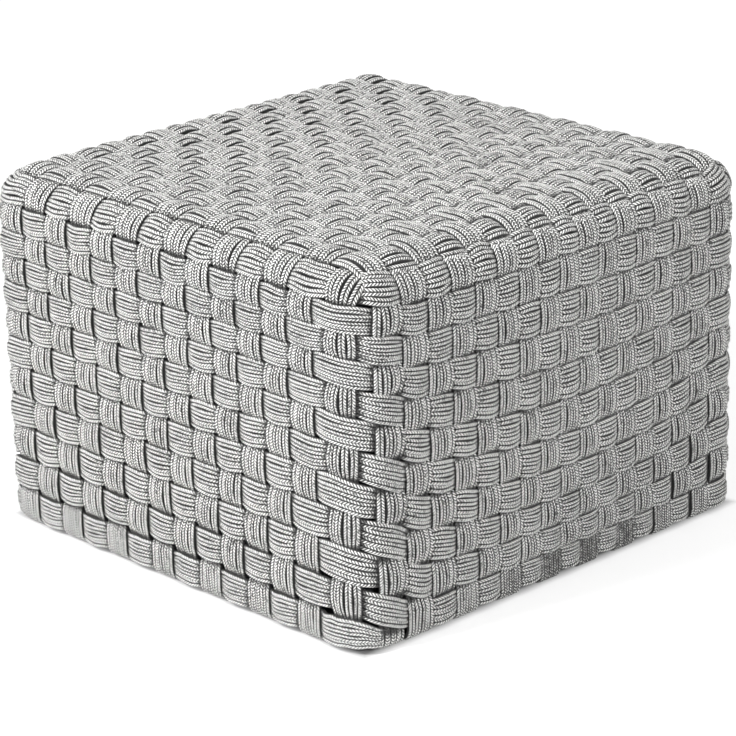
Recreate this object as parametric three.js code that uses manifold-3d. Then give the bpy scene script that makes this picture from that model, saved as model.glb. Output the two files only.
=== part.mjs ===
// Outdoor ottoman footstool: wide flat bands of cord, woven plain over a welded tube frame.
// Millimetres, +Z up, origin on the floor under the middle. Left is -X, front is -Y.

import * as THREE from 'three';
import { mergeVertices } from 'three/addons/utils/BufferGeometryUtils.js';
import Module from 'manifold-3d';

const wasm = await Module();
wasm.setup();

// Overall size, over the crowns of the weave
const width = 566;
const depth = 564;
const height = 390;
const cornerRadius = 46;
const floorGap = 1;

// Gap between pieces that touch
const clearance = 0.3;

// Woven bands
const warpWidth = 27;
const cornerWarpWidth = 22;
const weftWidth = 25.5;
const topWeftWidth = 22;
const bandCrown = 3.5;
const weaveGap = 1;
const columnGap = 0.6;
const sideColumnGap = 9;
const rowGap = 1.1;
const backColumnInset = 2;
const frontColumnInset = 35;
const leftTopRowDrop = 29.5;
const topRowDrop = 33;
const lastRowRise = 2.5;
const rowSag = 19;
const rowShiftReach = 60;
const cornerRowLift = 5;

// Shares that set how the rows spread down the sides
const leadPitchShare = 0.885;
const evenRowShare = 0.815;
const crossBunchShare = 0.19;
const sagStartShare = 0.12;
const sagPower = 1.4;
const liftStartShare = 0.35;
const liftEndShare = 0.6;
const shortRowEndShare = 0.72;
const cornerLiftShare = 0.2;
const turnGapShare = 0.35;

// Frame tubes
const tubeRadius = 12.5;
const topRingBend = 22;
const topRingGap = 1.5;
const postRadius = 11;
const uprightRadius = 8;
const uprightSpreadShare = 0.735;
const seatBarRadius = 11;
const seatBarSpreadShare = 0.32;
const seatBarGap = 1.5;
const copeDepth = 5;

// Foot plates and glides
const footPlateSize = 92;
const footPlateLip = 12;
const footPlateThickness = 4;
const footPlateDrop = 6;
const glideInset = 38;
const glideRadius = 15;
const glideChamfer = 2.5;
const glideStemRadius = 4;
const glideHeadRadius = 5.5;
const glideHeadHeight = 3;

// Facets
const minTurn = THREE.MathUtils.degToRad(18);
const maxTurn = THREE.MathUtils.degToRad(35);
const wrapAngles = [45, 100].map(THREE.MathUtils.degToRad);
const cornerWrapAngle = THREE.MathUtils.degToRad(75);
const cornerColumnLean = THREE.MathUtils.degToRad(20);
const quarterTurn = Math.PI / 2;
const tubeSides = 8;
const uprightSides = 8;
const bendSteps = 3;
const latheSides = 8;

const cordMaterial = { color: '#b7b7b2', roughness: 0.95, metalness: 0 };
const frameMaterial = { color: '#35373a', roughness: 0.5, metalness: 0.3 };
const glideMaterial = { color: '#1f2022', roughness: 0.6, metalness: 0 };

// Mid-surface of the weave: bands swing to either side of it
const swing = (bandCrown + weaveGap)
  / (2 - Math.max(weftWidth / (weftWidth + rowGap), warpWidth / (warpWidth + columnGap)));
const weaveDepth = swing + bandCrown;
const midRadius = cornerRadius - weaveDepth;
const coreX = width / 2 - cornerRadius;
const coreY = depth / 2 - cornerRadius;
const coreZ = height - cornerRadius;

// Base ring, which the bands wrap, and its distance inside the mid-surface
const wrapRadius = (tubeRadius + clearance) / Math.cos((wrapAngles[1] - wrapAngles[0]) / 2);
const baseInset = wrapRadius + swing;
const baseRingZ = floorGap + bandCrown + wrapRadius;
const baseBend = midRadius - baseInset;
const baseHalfX = coreX + baseBend;
const baseHalfY = coreY + baseBend;

// Top ring, tucked into the rounding of the top edges
const topOffset = (midRadius - swing - tubeRadius - topRingGap) / Math.SQRT2;
const topRingZ = coreZ + topOffset;
const topHalfX = coreX + topOffset;
const topHalfY = coreY + topOffset;

// Rows: the left side has one row more than the rings that go all the way round
const rowPitch = (weftWidth + rowGap) / leadPitchShare;
const leftTopRow = height - leftTopRowDrop;
const topRow = height - topRowDrop;
const lastRow = baseRingZ + lastRowRise;
const leftRows = Math.floor((leftTopRow - lastRow) / rowPitch) + 1;
const ringRows = leftRows - 1;

// Places round the perimeter, measured along the mid-surface from the left back corner
const cornerLength = midRadius * quarterTurn;
const frontStart = 2 * coreY + cornerLength;
const rightStart = frontStart + 2 * coreX + cornerLength;
const backStart = rightStart + 2 * coreY + cornerLength;
const perimeter = backStart + 2 * coreX + cornerLength;
const corners = [2 * coreY, rightStart - cornerLength, backStart - cornerLength, perimeter - cornerLength];
const perimeterArcs = corners.map((start) => [start, start + cornerLength]);

// Share of a spread that a column stands at: wide apart at the start and closer further on
function bunched(part, bunchShare) {
  return part + bunchShare * part * (1 - part) ** 2;
}

// Columns that run front to back, from the left to the right
function crossColumns() {
  const gaps = Math.floor(2 * coreX * (1 - crossBunchShare / 3) / (warpWidth + columnGap));
  return Array.from({ length: gaps + 1 }, (_, k) => {
    return { at: coreX * (2 * bunched(k / gaps, crossBunchShare) - 1), turn: 0 };
  });
}

// Columns that run side to side, from the back to the front. The last one stands on the front rounding.
function sideColumns() {
  const first = coreY - backColumnInset;
  const spread = first + coreY - frontColumnInset;
  const gaps = Math.floor(spread / (warpWidth + sideColumnGap));
  const columns = Array.from({ length: gaps + 1 }, (_, k) => {
    return { at: first - spread * k / gaps, turn: 0 };
  });
  return [...columns, { at: -coreY, turn: cornerColumnLean }];
}

const crossing = crossColumns();
const siding = sideColumns();

// Which band is on top where two cross: plain weave, over one and under one
const overs = {
  left: (row, side) => (row + side) % 2 === 1,
  right: (row, side) => (row + side + crossing.length) % 2 === 0,
  front: (row, cross) => (row + cross + siding.length) % 2 === 1,
  back: (row, cross) => (row + cross) % 2 === 0,
  top: (side, cross) => (side + cross) % 2 === 0,
};

function smoothStep(low, high, value) {
  const t = THREE.MathUtils.clamp((value - low) / (high - low), 0, 1);
  return t * t * (3 - 2 * t);
}

// Share of the left side's row spacing at a place: all of it there, none past its two corners
function leftShare(place) {
  const fromFront = smoothStep(frontStart - rowShiftReach, frontStart + rowShiftReach, place);
  const leftBackCorner = perimeter - cornerLength;
  const toBack = smoothStep(leftBackCorner - rowShiftReach, leftBackCorner + rowShiftReach, place);
  return 1 - fromFront + toBack;
}

// Rows hang lower in the middle of the front and the back
function sagShare(place) {
  const across = place < rightStart ? place - frontStart : backStart + 2 * coreX - place;
  const share = (across / (2 * coreX) - sagStartShare) / (1 - sagStartShare);
  return share > 0 && share < 1 ? 4 * share * (1 - share) : 0;
}

// Rows climb towards the left front corner, and come down again along the front
function cornerLift(place) {
  const up = smoothStep(2 * coreY * liftStartShare, 2 * coreY, place);
  return cornerRowLift * (up - smoothStep(frontStart, frontStart + 2 * coreX * liftEndShare, place));
}

// Height of a row's centre line at a place on the perimeter
function rowHeight(row, place) {
  const leftPart = (row - 1) / (leftRows - 1);
  const spread = evenRowShare * leftPart + (1 - evenRowShare) * leftPart * leftPart;
  const onLeft = leftTopRow - (leftTopRow - lastRow) * spread;
  const part = Math.min(1, (row - 1) / (ringRows - 1));
  const sag = rowSag * sagShare(place) * Math.sin(Math.PI * part ** sagPower);
  const elsewhere = topRow - (topRow - lastRow) * part - sag;
  const lift = cornerLift(place) * Math.sin(Math.PI * part);
  return THREE.MathUtils.lerp(elsewhere, onLeft, leftShare(place)) + lift;
}

// How fast a row climbs along the perimeter, over the width of the column at a place
function rowSlope(row, place) {
  return (rowHeight(row, place + warpWidth / 2) - rowHeight(row, place - warpWidth / 2)) / warpWidth;
}

// Places of the columns on the perimeter
function sidePlace(column, onRight, elevation = 0) {
  const turn = Math.asin(Math.min(1, Math.sin(column.turn) / Math.cos(elevation)));
  if (onRight) return rightStart + column.at + coreY - midRadius * turn;
  return coreY - column.at + midRadius * turn;
}

function crossPlace(column, onBack) {
  return onBack ? backStart + coreX - column.at : frontStart + column.at + coreX;
}

// Elevation of the surface's normal at a height: rows near the top lie on the rounding
function elevationAt(z, radius = midRadius) {
  return Math.asin(THREE.MathUtils.clamp((z - coreZ) / radius, 0, 1));
}

// Closed solid through rings of points: the section is counter-clockwise seen against the path
function loft(rings, closed) {
  const sides = rings[0].length;
  const positions = rings.flat().flatMap((point) => point.toArray());
  const indices = [];
  const steps = closed ? rings.length : rings.length - 1;
  for (let ring = 0; ring < steps; ring += 1) {
    const next = (ring + 1) % rings.length;
    for (let side = 0; side < sides; side += 1) {
      const other = (side + 1) % sides;
      const a = ring * sides + side;
      const b = ring * sides + other;
      const c = next * sides + other;
      const d = next * sides + side;
      indices.push(a, b, c, a, c, d);
    }
  }
  if (!closed) {
    const last = (rings.length - 1) * sides;
    for (let side = 1; side < sides - 1; side += 1) {
      indices.push(0, side + 1, side, last, last + side, last + side + 1);
    }
  }
  const geometry = new THREE.BufferGeometry();
  geometry.setAttribute('position', new THREE.Float32BufferAttribute(positions, 3));
  geometry.setIndex(indices);
  return geometry;
}

// Nearest point of the weave's mid-surface, lifted outwards
function ontoSurface(point, lift) {
  const core = new THREE.Vector3(
    THREE.MathUtils.clamp(point.x, -coreX, coreX), THREE.MathUtils.clamp(point.y, -coreY, coreY),
    Math.min(point.z, coreZ));
  const outward = point.clone().sub(core).normalize();
  return core.addScaledVector(outward, midRadius + lift);
}

// Band along stations, crowned outside and lifted off the mid-surface at each station.
// Inside it is flat, or bent along its middle where the surface curves across it.
// Each band's section lies along the band that it crosses there.
function bandGeometry(stations, bandWidth, closed, curved) {
  const count = stations.length;
  const rings = stations.map((station, k) => {
    const before = stations[Math.max(0, k - 1)];
    const after = stations[Math.min(count - 1, k + 1)];
    const along = station.along ?? after.point.clone().sub(before.point);
    const across = station.normal.clone().cross(along).setLength(bandWidth / 2);
    if (station.slope) across.addScaledVector(station.rise, station.slope * across.dot(station.level));
    const inner = station.point.clone().addScaledVector(station.normal, station.lift);
    const crown = inner.clone().addScaledVector(station.normal, bandCrown);
    const edges = [inner.clone().sub(across), inner.clone().add(across)]
      .map((edge) => (station.wrapped ? edge : ontoSurface(edge, station.lift)));
    return curved ? [edges[0], inner, edges[1], crown] : [...edges, crown];
  });
  return loft(rings, closed);
}

// Adds plain stations where a band turns between two crossings
function fillTurns(marks, arcs, radius, length = 0) {
  return marks.flatMap((mark, k) => {
    if (k === marks.length - 1 && !length) return [mark];
    const next = k < marks.length - 1 ? marks[k + 1] : { at: marks[0].at + length, lift: marks[0].lift };
    const arc = arcs.find(
      ([start, end]) => Math.min(end, next.at) - Math.max(start, mark.at) > radius * minTurn);
    if (!arc) return [mark];
    const from = Math.max(arc[0], mark.at);
    const to = Math.min(arc[1], next.at);
    const parts = Math.ceil((to - from) / (radius * maxTurn));
    const leastGap = radius * minTurn * turnGapShare;
    const places = Array.from({ length: parts + 1 }, (_, n) => from + (to - from) * n / parts)
      .filter((at) => at > mark.at + leastGap && at < next.at - leastGap);
    const extras = places.map((at) => {
      return { at, lift: THREE.MathUtils.lerp(mark.lift, next.lift, (at - mark.at) / (next.at - mark.at)) };
    });
    return [mark, ...extras];
  });
}

// Level direction along the surface, towards growing places on the perimeter
function levelTangent(normal) {
  return new THREE.Vector3(-normal.y, normal.x, 0).normalize();
}

// Point and normal of the mid-surface at a place on the perimeter and a height
function perimeterPoint(place, z) {
  const runs = [2 * coreY, 2 * coreX, 2 * coreY, 2 * coreX];
  const starts = [0, frontStart, rightStart, backStart];
  const from = [[-coreX, coreY], [-coreX, -coreY], [coreX, -coreY], [coreX, coreY]];
  const wrapped = THREE.MathUtils.euclideanModulo(place, perimeter);
  const face = starts.findLastIndex((start) => wrapped >= start);
  const gone = wrapped - starts[face];
  const heading = face * quarterTurn - quarterTurn;
  const run = Math.min(gone, runs[face]);
  const turn = Math.max(0, gone - runs[face]) / midRadius;
  const outward = heading - quarterTurn + turn;
  const elevation = elevationAt(z);
  const normal = new THREE.Vector3(
    Math.cos(outward) * Math.cos(elevation), Math.sin(outward) * Math.cos(elevation), Math.sin(elevation));
  const [startX, startY] = from[face];
  const core = new THREE.Vector3(
    startX + Math.cos(heading) * run, startY + Math.sin(heading) * run, Math.min(z, coreZ));
  return { point: core.addScaledVector(normal, midRadius), normal };
}

function weftStation(mark, z) {
  const station = perimeterPoint(mark.at, z);
  return { ...station, along: levelTangent(station.normal), lift: mark.lift };
}

// Crossings of a row with the columns of the left or the right side
function sideMarks(row, onRight) {
  return siding.map((column, k) => {
    const warpOver = (onRight ? overs.right : overs.left)(row, k + 1);
    const elevation = elevationAt(rowHeight(row, sidePlace(column, onRight)));
    return { at: sidePlace(column, onRight, elevation), lift: warpOver ? -swing : swing };
  });
}

function crossMarks(row, onBack) {
  return crossing.map((column, k) => {
    const warpOver = (onBack ? overs.back : overs.front)(row, k + 1);
    return { at: crossPlace(column, onBack), lift: warpOver ? -swing : swing };
  });
}

// The top row stays low round the front corners, clear of the columns that lean in over it
function frontCornerMarks(row) {
  if (row > 1) return [];
  const last = siding[siding.length - 1];
  const lift = overs.left(row, siding.length) ? -swing * cornerLiftShare : swing * cornerLiftShare;
  const places = [[sidePlace(last, false), frontStart], [rightStart - cornerLength, sidePlace(last, true)]];
  return places.map(([from, to]) => ({ at: (from + to) / 2, lift }));
}

// Ring band: one row that goes all the way round
function ringBand(row) {
  const marks = [...sideMarks(row, false), ...crossMarks(row, false), ...sideMarks(row, true),
    ...crossMarks(row, true), ...frontCornerMarks(row)].sort((a, b) => a.at - b.at);
  const stations = fillTurns(marks, perimeterArcs, midRadius, perimeter)
    .map((mark) => weftStation(mark, rowHeight(row, mark.at)));
  return bandGeometry(stations, row === 1 ? topWeftWidth : weftWidth, true, row === 1);
}

// Short band: the left side's last row, its ends tucked in behind the corners
function shortBand() {
  const end = shortRowEndShare * cornerLength;
  const tuck = { lift: -swing * cornerLiftShare };
  const marks = [{ at: -end, ...tuck }, ...sideMarks(leftRows, false), { at: 2 * coreY + end, ...tuck }];
  const arcs = [[-cornerLength, 0], [2 * coreY, frontStart]];
  const stations = fillTurns(marks, arcs, midRadius).map((mark) => weftStation(mark, lastRow));
  return bandGeometry(stations, weftWidth, false, false);
}

// Run of one warp band: up a side, over the top and down the other side
function warpRun(column, coreRun, place) {
  const turnRadius = midRadius * Math.cos(column.turn);
  const side = coreZ - baseRingZ;
  const arc = turnRadius * quarterTurn;
  const length = 2 * (side + arc + coreRun);
  return {
    length,
    turnRadius,
    leaning: column.turn > 0,
    arcs: [[side, side + arc], [length - side - arc, length - side]],
    atHeight: (z) => (z <= coreZ ? z - baseRingZ : side + turnRadius * elevationAt(z, turnRadius)),
    atTop: (other) => (other.turn
      ? side + turnRadius * (quarterTurn - other.turn)
      : side + arc + coreRun + other.at),
    station(mark) {
      const gone = Math.min(mark.at, length - mark.at);
      const outward = mark.at < length / 2 ? -1 : 1;
      const turned = Math.min(quarterTurn, Math.max(0, gone - side) / turnRadius);
      const run = Math.max(0, gone - side - arc);
      const normal = place(outward * Math.cos(column.turn) * Math.cos(turned), -Math.sin(column.turn),
        Math.cos(column.turn) * Math.sin(turned));
      const core = place(outward * (coreRun - run), column.at, Math.min(coreZ, baseRingZ + gone));
      const level = levelTangent(normal);
      const rise = normal.clone().cross(level);
      return { point: core.addScaledVector(normal, midRadius), normal, level, rise, ...mark };
    },
  };
}

// A band's end round the base ring, from its outer side inwards. Over the last row it first clears the row.
function baseWrap(foot, last, angles) {
  const stations = last.z - baseRingZ > clearance ? [{ ...foot, lift: last.lift }] : [];
  const centre = foot.point.clone().addScaledVector(foot.normal, -baseInset);
  angles.forEach((angle, step) => {
    const normal = foot.normal.clone().multiplyScalar(Math.cos(angle));
    normal.z = -Math.sin(angle);
    const point = centre.clone().addScaledVector(normal, wrapRadius);
    if (last.lift > 0 && step === 0) {
      point.copy(foot.point).addScaledVector(foot.normal, weaveGap);
      point.z -= weftWidth / 2 + weaveGap;
    }
    stations.push({ point, normal, lift: 0, wrapped: true });
  });
  return stations;
}

// Warp band from its side crossings, its top crossings and its two wrapped ends
function warpBand(run, near, top, far, curved) {
  const marks = [
    ...near.map((c) => ({ ...c, at: run.atHeight(c.z) })).reverse(),
    ...top.map((c) => ({ ...c, at: run.atTop(c.column) })),
    ...far.map((c) => ({ ...c, at: run.length - run.atHeight(c.z) })),
  ];
  const stations = fillTurns(marks, run.arcs, run.turnRadius).map((mark) => run.station(mark));
  const angles = run.leaning ? [wrapAngles[0], cornerWrapAngle] : wrapAngles;
  const start = baseWrap(run.station({ at: 0 }), near[near.length - 1], angles).reverse();
  const end = baseWrap(run.station({ at: run.length }), far[far.length - 1], angles);
  const bandWidth = curved ? cornerWarpWidth : warpWidth;
  return bandGeometry([...start, ...stations, ...end], bandWidth, false, curved);
}

// A warp band's crossings with the rows, from the top down
function rowCrossings(count, place, isOver) {
  return Array.from({ length: count }, (_, k) => {
    const row = k + 1;
    return { z: rowHeight(row, place), slope: rowSlope(row, place), lift: isOver(row) ? swing : -swing };
  });
}

function sideToSideBand(index) {
  const column = siding[index];
  const run = warpRun(column, coreX, (u, v, z) => new THREE.Vector3(u, v, z));
  const side = index + 1;
  const near = rowCrossings(leftRows, sidePlace(column, false), (row) => overs.left(row, side));
  const far = rowCrossings(ringRows, sidePlace(column, true), (row) => overs.right(row, side));
  const top = crossing.map((other, k) => ({ column: other, lift: overs.top(side, k + 1) ? swing : -swing }));
  return warpBand(run, near, top, far, column.turn > 0);
}

function frontToBackBand(index) {
  const column = crossing[index];
  const run = warpRun(column, coreY, (u, v, z) => new THREE.Vector3(v, u, z));
  const cross = index + 1;
  const near = rowCrossings(ringRows, crossPlace(column, false), (row) => overs.front(row, cross));
  const far = rowCrossings(ringRows, crossPlace(column, true), (row) => overs.back(row, cross));
  const top = siding
    .map((other, k) => ({ column: other, lift: overs.top(k + 1, cross) ? -swing : swing }))
    .reverse();
  return warpBand(run, near, top, far, index === 0 || index === crossing.length - 1);
}

// Rounded rectangle of tube, closed on itself, lying level
function ringTube(halfX, halfY, bend, z, radius) {
  const rings = [];
  for (let corner = 0; corner < 4; corner += 1) {
    const signX = corner === 0 || corner === 3 ? 1 : -1;
    const signY = corner < 2 ? 1 : -1;
    for (let step = 0; step <= bendSteps; step += 1) {
      const angle = (corner + step / bendSteps) * quarterTurn;
      const outward = new THREE.Vector3(Math.cos(angle), Math.sin(angle), 0);
      const centre = new THREE.Vector3(signX * (halfX - bend), signY * (halfY - bend), z)
        .addScaledVector(outward, bend);
      rings.push(Array.from({ length: tubeSides }, (_, k) => {
        const around = (k + 0.5) / tubeSides * 2 * Math.PI;
        return centre.clone().addScaledVector(outward, radius * Math.sin(around))
          .add(new THREE.Vector3(0, 0, radius * Math.cos(around)));
      }));
    }
  }
  return loft(rings, true);
}

// Solids for joining and cutting
function toSolid(geometry) {
  const plain = geometry.clone();
  plain.deleteAttribute('normal');
  plain.deleteAttribute('uv');
  const merged = mergeVertices(plain);
  return new wasm.Manifold(new wasm.Mesh({
    numProp: 3,
    vertProperties: new Float32Array(merged.attributes.position.array),
    triVerts: new Uint32Array(merged.index.array),
  }));
}

function toGeometry(solid) {
  const mesh = solid.getMesh();
  const geometry = new THREE.BufferGeometry();
  geometry.setAttribute('position', new THREE.Float32BufferAttribute(mesh.vertProperties, 3));
  geometry.setIndex([...mesh.triVerts]);
  return geometry;
}

// Foot plate: a gusset in the corner of the base ring, with the hole for a glide's stem
function footPlate(signX, signY) {
  const outline = [[0, 0], [footPlateSize, 0], [footPlateSize, footPlateLip], [footPlateLip, footPlateSize],
    [0, footPlateSize]];
  const shape = new THREE.Shape(outline.map(([x, y]) => new THREE.Vector2(x, y)));
  const hole = new THREE.Path();
  hole.absarc(glideInset, glideInset, glideStemRadius + clearance, 0, 2 * Math.PI);
  shape.holes.push(hole);
  const plate = new THREE.ExtrudeGeometry(
    shape, { depth: footPlateThickness, bevelEnabled: false, curveSegments: latheSides });
  const quarter = { '1,1': 2, '-1,1': 3, '-1,-1': 0, '1,-1': 1 }[`${signX},${signY}`];
  plate.rotateZ(quarter * quarterTurn);
  plate.translate(signX * baseHalfX, signY * baseHalfY, baseRingZ - footPlateDrop);
  return plate;
}

function baseRing() {
  let solid = toSolid(ringTube(baseHalfX, baseHalfY, baseBend, baseRingZ, tubeRadius));
  for (const [signX, signY] of cornerSigns) solid = solid.add(toSolid(footPlate(signX, signY)));
  return toGeometry(solid);
}

// Round bar between two centre points, cut clear of the rings it is welded to
function copedBar(from, to, radius, sides, cutters) {
  const span = to.clone().sub(from);
  const bar = new THREE.CylinderGeometry(radius, radius, span.length(), sides);
  const axis = new THREE.Vector3(0, 1, 0);
  bar.applyQuaternion(new THREE.Quaternion().setFromUnitVectors(axis, span.normalize()));
  const middle = from.clone().add(to).divideScalar(2);
  bar.translate(middle.x, middle.y, middle.z);
  return toGeometry(cutters.reduce((solid, cutter) => solid.subtract(cutter), toSolid(bar)));
}

const cornerSigns = [[-1, -1], [1, -1], [1, 1], [-1, 1]];
const baseCutter = toSolid(ringTube(baseHalfX, baseHalfY, baseBend, baseRingZ, tubeRadius + clearance));
const topCutter = toSolid(ringTube(topHalfX, topHalfY, topRingBend, topRingZ, tubeRadius + clearance));
const uprightBottom = baseRingZ + tubeRadius - copeDepth;
const uprightTop = topRingZ - tubeRadius + copeDepth;

// Corner post: stands between the corner bends of the two rings
function cornerPost(signX, signY) {
  const topReach = topOffset - topRingBend * (1 - Math.SQRT1_2);
  const reach = (topReach + baseBend * Math.SQRT1_2) / 2;
  const x = signX * (coreX + reach);
  const y = signY * (coreY + reach);
  return copedBar(new THREE.Vector3(x, y, uprightBottom), new THREE.Vector3(x, y, uprightTop),
    postRadius, tubeSides, [baseCutter, topCutter]);
}

function sideUpright(signX, signY) {
  const x = signX * baseHalfX;
  const y = signY * uprightSpreadShare * baseHalfY;
  return copedBar(new THREE.Vector3(x, y, uprightBottom), new THREE.Vector3(x, y, uprightTop),
    uprightRadius, uprightSides, [baseCutter, topCutter]);
}

// Seat bar: crosses the top ring close under the weave
function seatBar(signY) {
  const reach = topHalfX - tubeRadius + copeDepth;
  const y = signY * seatBarSpreadShare * baseHalfY;
  const z = height - weaveDepth - swing - seatBarGap - seatBarRadius;
  return copedBar(new THREE.Vector3(-reach, y, z), new THREE.Vector3(reach, y, z),
    seatBarRadius, tubeSides, [topCutter]);
}

// Glide: a pad under the foot plate, with a stem through it and a head that holds it
function glide(signX, signY) {
  const seat = baseRingZ - footPlateDrop - clearance;
  const headBottom = baseRingZ - footPlateDrop + footPlateThickness + clearance;
  const profile = [
    [0, 0], [glideRadius - glideChamfer, 0], [glideRadius, glideChamfer], [glideRadius, seat],
    [glideStemRadius, seat], [glideStemRadius, headBottom], [glideHeadRadius, headBottom],
    [glideStemRadius, headBottom + glideHeadHeight], [0, headBottom + glideHeadHeight],
  ];
  const geometry = new THREE.LatheGeometry(profile.map(([x, y]) => new THREE.Vector2(x, y)), latheSides);
  geometry.rotateX(quarterTurn);
  geometry.translate(signX * (baseHalfX - glideInset), signY * (baseHalfY - glideInset), 0);
  return geometry;
}

// Assembly
const footstool = new THREE.Group();

function addPiece(name, geometry, material) {
  const mesh = new THREE.Mesh(geometry, new THREE.MeshStandardMaterial(material));
  mesh.name = name;
  footstool.add(mesh);
}

function numbered(name, number) {
  return `${name}_${String(number).padStart(2, '0')}`;
}

function addBands() {
  for (let row = 1; row <= ringRows; row += 1) {
    addPiece(numbered('ring_band', row), ringBand(row), cordMaterial);
  }
  addPiece(numbered('short_band', leftRows), shortBand(), cordMaterial);
  siding.forEach((_, k) => {
    addPiece(numbered('side_to_side_band', k + 1), sideToSideBand(k), cordMaterial);
  });
  crossing.forEach((_, k) => {
    addPiece(numbered('front_to_back_band', k + 1), frontToBackBand(k), cordMaterial);
  });
}

function addFrame() {
  addPiece('base_ring', baseRing(), frameMaterial);
  addPiece('top_ring', ringTube(topHalfX, topHalfY, topRingBend, topRingZ, tubeRadius), frameMaterial);
  for (const [signX, signY] of cornerSigns) {
    const place = `${signY < 0 ? 'front' : 'back'}_${signX < 0 ? 'left' : 'right'}`;
    addPiece(`corner_post_${place}`, cornerPost(signX, signY), frameMaterial);
    addPiece(`side_upright_${place}`, sideUpright(signX, signY), frameMaterial);
    addPiece(`glide_${place}`, glide(signX, signY), glideMaterial);
  }
  addPiece('seat_bar_front', seatBar(-1), frameMaterial);
  addPiece('seat_bar_back', seatBar(1), frameMaterial);
}

addBands();
addFrame();

export default footstool;
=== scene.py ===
import math
from collections import namedtuple

import bpy
import numpy as np
from mathutils import Matrix, Vector


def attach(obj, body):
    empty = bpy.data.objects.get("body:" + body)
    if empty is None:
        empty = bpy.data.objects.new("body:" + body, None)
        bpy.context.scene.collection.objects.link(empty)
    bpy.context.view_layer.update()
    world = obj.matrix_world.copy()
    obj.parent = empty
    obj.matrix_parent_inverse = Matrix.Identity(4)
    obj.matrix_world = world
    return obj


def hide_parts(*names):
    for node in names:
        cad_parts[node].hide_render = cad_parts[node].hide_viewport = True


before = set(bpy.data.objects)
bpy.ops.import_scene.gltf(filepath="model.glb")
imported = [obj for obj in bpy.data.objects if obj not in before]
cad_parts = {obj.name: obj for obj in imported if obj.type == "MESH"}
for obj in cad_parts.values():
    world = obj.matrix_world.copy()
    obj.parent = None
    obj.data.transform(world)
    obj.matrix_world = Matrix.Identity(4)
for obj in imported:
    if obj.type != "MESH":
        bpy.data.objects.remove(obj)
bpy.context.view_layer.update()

# Sizes of the body and its weave, in metres, as in the solids
MM = 0.001
WIDTH, DEPTH, HEIGHT = 566 * MM, 564 * MM, 390 * MM
CORNER = 46 * MM
WARP, WEFT = 27 * MM, 25.5 * MM
CROWN, WEAVE_GAP = 3.5 * MM, 1 * MM
COLUMN_GAP, SIDE_COLUMN_GAP, ROW_GAP = 0.6 * MM, 9 * MM, 1.1 * MM
BACK_INSET, FRONT_INSET = 2 * MM, 35 * MM
CROSS_BUNCH_SHARE, CORNER_LEAN = 0.19, math.radians(20)
TUBE, CLEAR, FLOOR_GAP = 12.5 * MM, 0.3 * MM, 1 * MM
WRAP_HALF_FACET, SQUARE_LIMIT = math.radians(27.5), 0.05
QUARTER = math.pi / 2

# Heights of the rows
LEAD_PITCH_SHARE, EVEN_ROW_SHARE = 0.885, 0.815
LEFT_TOP_DROP, TOP_DROP, LAST_RISE = 26 * MM, 33 * MM, 2.5 * MM
SAG, SAG_START_SHARE, SAG_POWER = 19 * MM, 0.12, 1.5
SHIFT = 60 * MM
CORNER_LIFT, LIFT_START_SHARE, LIFT_END_SHARE = 7 * MM, 0.35, 0.6
TOP_ROW_RISE, FRONT_LOSS_SHARE = 4.5 * MM, 0.6
CORNER_CLIMB, CLIMB_REACH = 6 * MM, 26 * MM

# Cords: four side by side in a band, each a flat braid with two lobes of plait
CORDS = 4
CORD_PITCH = 7.25 * MM
HALF_WIDE, HALF_THICK = 3.86 * MM, 2.85 * MM
LIFT, BULGE, CROWN_FALL = 2.3 * MM, 2.7 * MM, 1.8 * MM
TURN_REACH = 36 * MM
STEP = 3.4 * MM
# how freely each cord of a band stands on its two sides; a free side lifts the painted shade down that flank
FREE_SIDES = ((1, 0.3), (0.5, 0), (0, 0.5), (0.3, 1))
LEAST_TOP_ROW_FREE = 0.4

# How widely a band's cords spread
PLAIN_ROOM = 30.5 * MM
DIP_SHARE, SWELL_SHARE, LAST_ROW_LOSS_SHARE = 0.93, 0.1, 0.05
ROW_FILL_SHARES, CROSS_FILL_SHARES = (0.88, 1.3), (0.97, 1.17)
SIDE_FILL_SHARE, SEAT_FILL_SHARE = 1.04, 0.2
ROOM_ABOVE_FIRST, ROOM_BELOW_LAST, LAST_ROW_REACH = 35 * MM, 29 * MM, 30 * MM
TOP_ROW_WIDE_SHARE, ROUNDING_SPREAD_SHARE = 1.05, 1.02

# Ends of the short last row, as shares of a corner's length
SHORT_END_SHARE, BACK_MARK_SHARE, FRONT_MARK_SHARE, TAIL_START_SHARE = 0.95, 0.47, 0.6, 0.35
TAIL_DROP, TAIL_LOSS_SHARE, SHORT_LIFT_SHARE = 7 * MM, 0.3, 0.8

# Wander of the cords
CORD_SWAY, BAND_SWAY, LIFT_SWAY, WIDTH_SWAY_SHARE = 0.35 * MM, 0.6 * MM, 0.22 * MM, 0.03
CORD_SWAY_LENGTH, BAND_SWAY_LENGTH, LIFT_SWAY_LENGTH, WIDTH_SWAY_LENGTH = 90 * MM, 120 * MM, 70 * MM, 50 * MM
BAND_SEED, LIFT_SEED, WIDTH_SEED, TONE_SEED = 7, 500, 900, 77
SIDE_SEED, CROSS_SEED, SEEDS_A_BAND = 2000, 4000, 10

# Ends of the columns: what they do before they turn round the base ring's tube. Each point is how far it
# stands out from the cords' surface, as a share of LIFT, and its height above the floor
LOWEST_CROSSING = 14 * MM
OVER_END_SHARES = ((0.9, 10.5 * MM), (0.2, 5.6 * MM), (-1.6, 3.7 * MM))
EMERGING_END_SHARES = ((-0.8, 23 * MM), (0.3, 14 * MM), (0, 8 * MM), (-1.6, 3.9 * MM))
EMERGING_REACH = 30 * MM
WRAP_FROM_OVER, WRAP_FROM_UNDER, WRAP_TO, FAR_WRAP_TO, WRAP_STEP = 80, 10, 140, 200, 15
FAR_WRAP_REACH = 150 * MM
LEAST_WRAP_STEPS, SMOOTH_PASSES = 4, 3

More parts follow.
